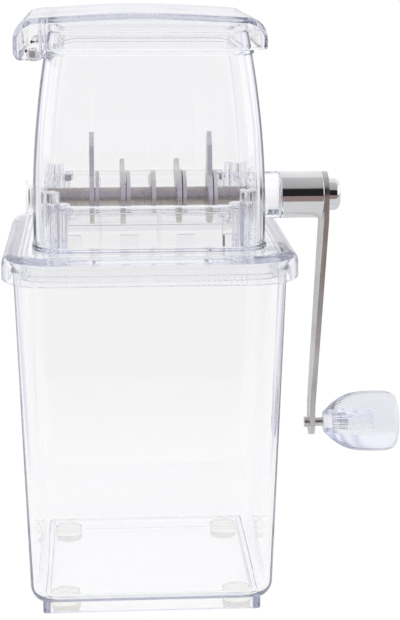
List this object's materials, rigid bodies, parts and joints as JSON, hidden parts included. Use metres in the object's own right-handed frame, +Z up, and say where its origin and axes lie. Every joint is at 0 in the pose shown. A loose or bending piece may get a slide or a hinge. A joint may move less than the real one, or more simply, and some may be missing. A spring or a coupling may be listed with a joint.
{
  "type": "hand-cranked ice crusher",
  "caption": "Clear ice crusher with a crank: hinged lid, hopper with toothed rotor between fixed plates, lift-off head, square tub on rubber feet.",
  "frame": {"origin": "middle between the four feet, on the surface that the crusher stands on", "axes": "+Z up; +X towards the crank, along the shaft; +Y to the rear, the lid's hinge is at -X"},
  "size_m": [0.1702, 0.124, 0.2494],
  "materials": {
    "clear_plastic": "polished clear",
    "knob_plastic": "polished clear",
    "white_plastic": "satin white",
    "foot_rubber": "translucent",
    "blade_steel": "punched and rolled",
    "arm_steel": "satin",
    "zinc_steel": "zinc plated",
    "chrome": "bright"
  },
  "bodies": {
    "tub": {"ice_tub": "clear_plastic", "foot_pad_1": "foot_rubber", "foot_pad_2": "foot_rubber", "foot_pad_3": "foot_rubber", "foot_pad_4": "foot_rubber"},
    "head": {"base_collar": "clear_plastic", "hopper_tower": "clear_plastic", "tower_screw_1": "zinc_steel", "tower_screw_2": "zinc_steel", "tower_screw_3": "zinc_steel", "tower_screw_4": "zinc_steel", "bearing_bush_left": "white_plastic", "bearing_bush_right": "white_plastic", "bearing_cap": "clear_plastic", "hinge_pin_front": "zinc_steel", "hinge_pin_rear": "zinc_steel", "blade_carrier": "clear_plastic", "fixed_plate_1": "blade_steel", "fixed_plate_2": "blade_steel", "fixed_plate_3": "blade_steel", "fixed_plate_4": "blade_steel", "fixed_plate_5": "blade_steel"},
    "lid": {"hopper_lid": "clear_plastic"},
    "crank": {"rotor_shaft": "blade_steel", "shaft_clip": "zinc_steel", "rotor_blade_1": "blade_steel", "rotor_blade_2": "blade_steel", "rotor_blade_3": "blade_steel", "rotor_blade_4": "blade_steel", "crank_sleeve": "chrome", "crank_arm": "arm_steel", "cap_nut": "chrome", "knob_axle": "arm_steel"},
    "knob": {"knob_bush": "white_plastic", "knob_bell": "knob_plastic", "knob_core": "knob_plastic"}
  },
  "joints": [
    {"name": "head_lift", "type": "slide", "parent": "tub", "child": "head", "axis": [0, 0, 1], "range_m": [0, 0.06]},
    {"name": "lid_hinge", "type": "hinge", "parent": "head", "child": "lid", "pos_m": [-0.0462, 0, 0.2335], "axis": [0, -1, 0], "range_deg": [0, 90]},
    {"name": "crank_turn", "type": "hinge", "parent": "head", "child": "crank", "pos_m": [0, 0, 0.169], "axis": [1, 0, 0], "continuous": true},
    {"name": "knob_spin", "type": "hinge", "parent": "crank", "child": "knob", "pos_m": [0.085, 0, 0.0672], "axis": [1, 0, 0], "continuous": true}
  ]
}
